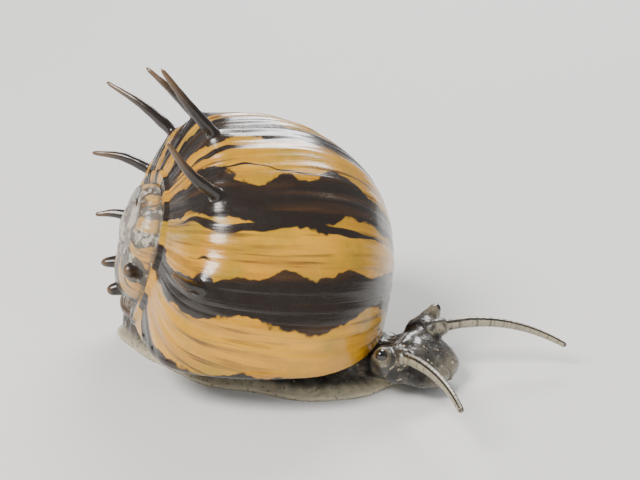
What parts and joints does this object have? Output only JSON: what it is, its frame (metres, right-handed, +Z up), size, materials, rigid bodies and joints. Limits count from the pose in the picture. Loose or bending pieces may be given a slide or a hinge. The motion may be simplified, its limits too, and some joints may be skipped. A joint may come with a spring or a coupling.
{
  "type": "nerite snail",
  "caption": "Crawling horned nerite snail, life size: rounded coiled shell with a row of shoulder spines, oval foot, snouted head, long feelers and eyes on short stalks.",
  "frame": {"origin": "on the sole of the foot, at floor level, under the middle of the shell", "axes": "+X towards the head, +Z up, the animal's right side with the spire faces -Y"},
  "size_m": [0.0317, 0.0202, 0.0187],
  "materials": {
    "shell": "satin, banded dark brown and golden olive along the growth lines",
    "mantle": "moist",
    "flesh": "moist, dark grey with pale flecks",
    "foot": "moist, grey with a pale cream hem and sole",
    "eye": "gloss",
    "operculum": "satin, with arched growth lines"
  },
  "bodies": {
    "root": {"shell": "shell", "mantle_edge": "mantle", "trunk": "flesh", "foot": "foot", "head": "flesh", "tentacle_left_root": "flesh", "tentacle_left_tip": "flesh", "eyestalk_left": "flesh", "eye_left": "eye", "tentacle_right_root": "flesh", "tentacle_right_tip": "flesh", "eyestalk_right": "flesh", "eye_right": "eye", "operculum": "operculum"}
  },
  "joints": []
}
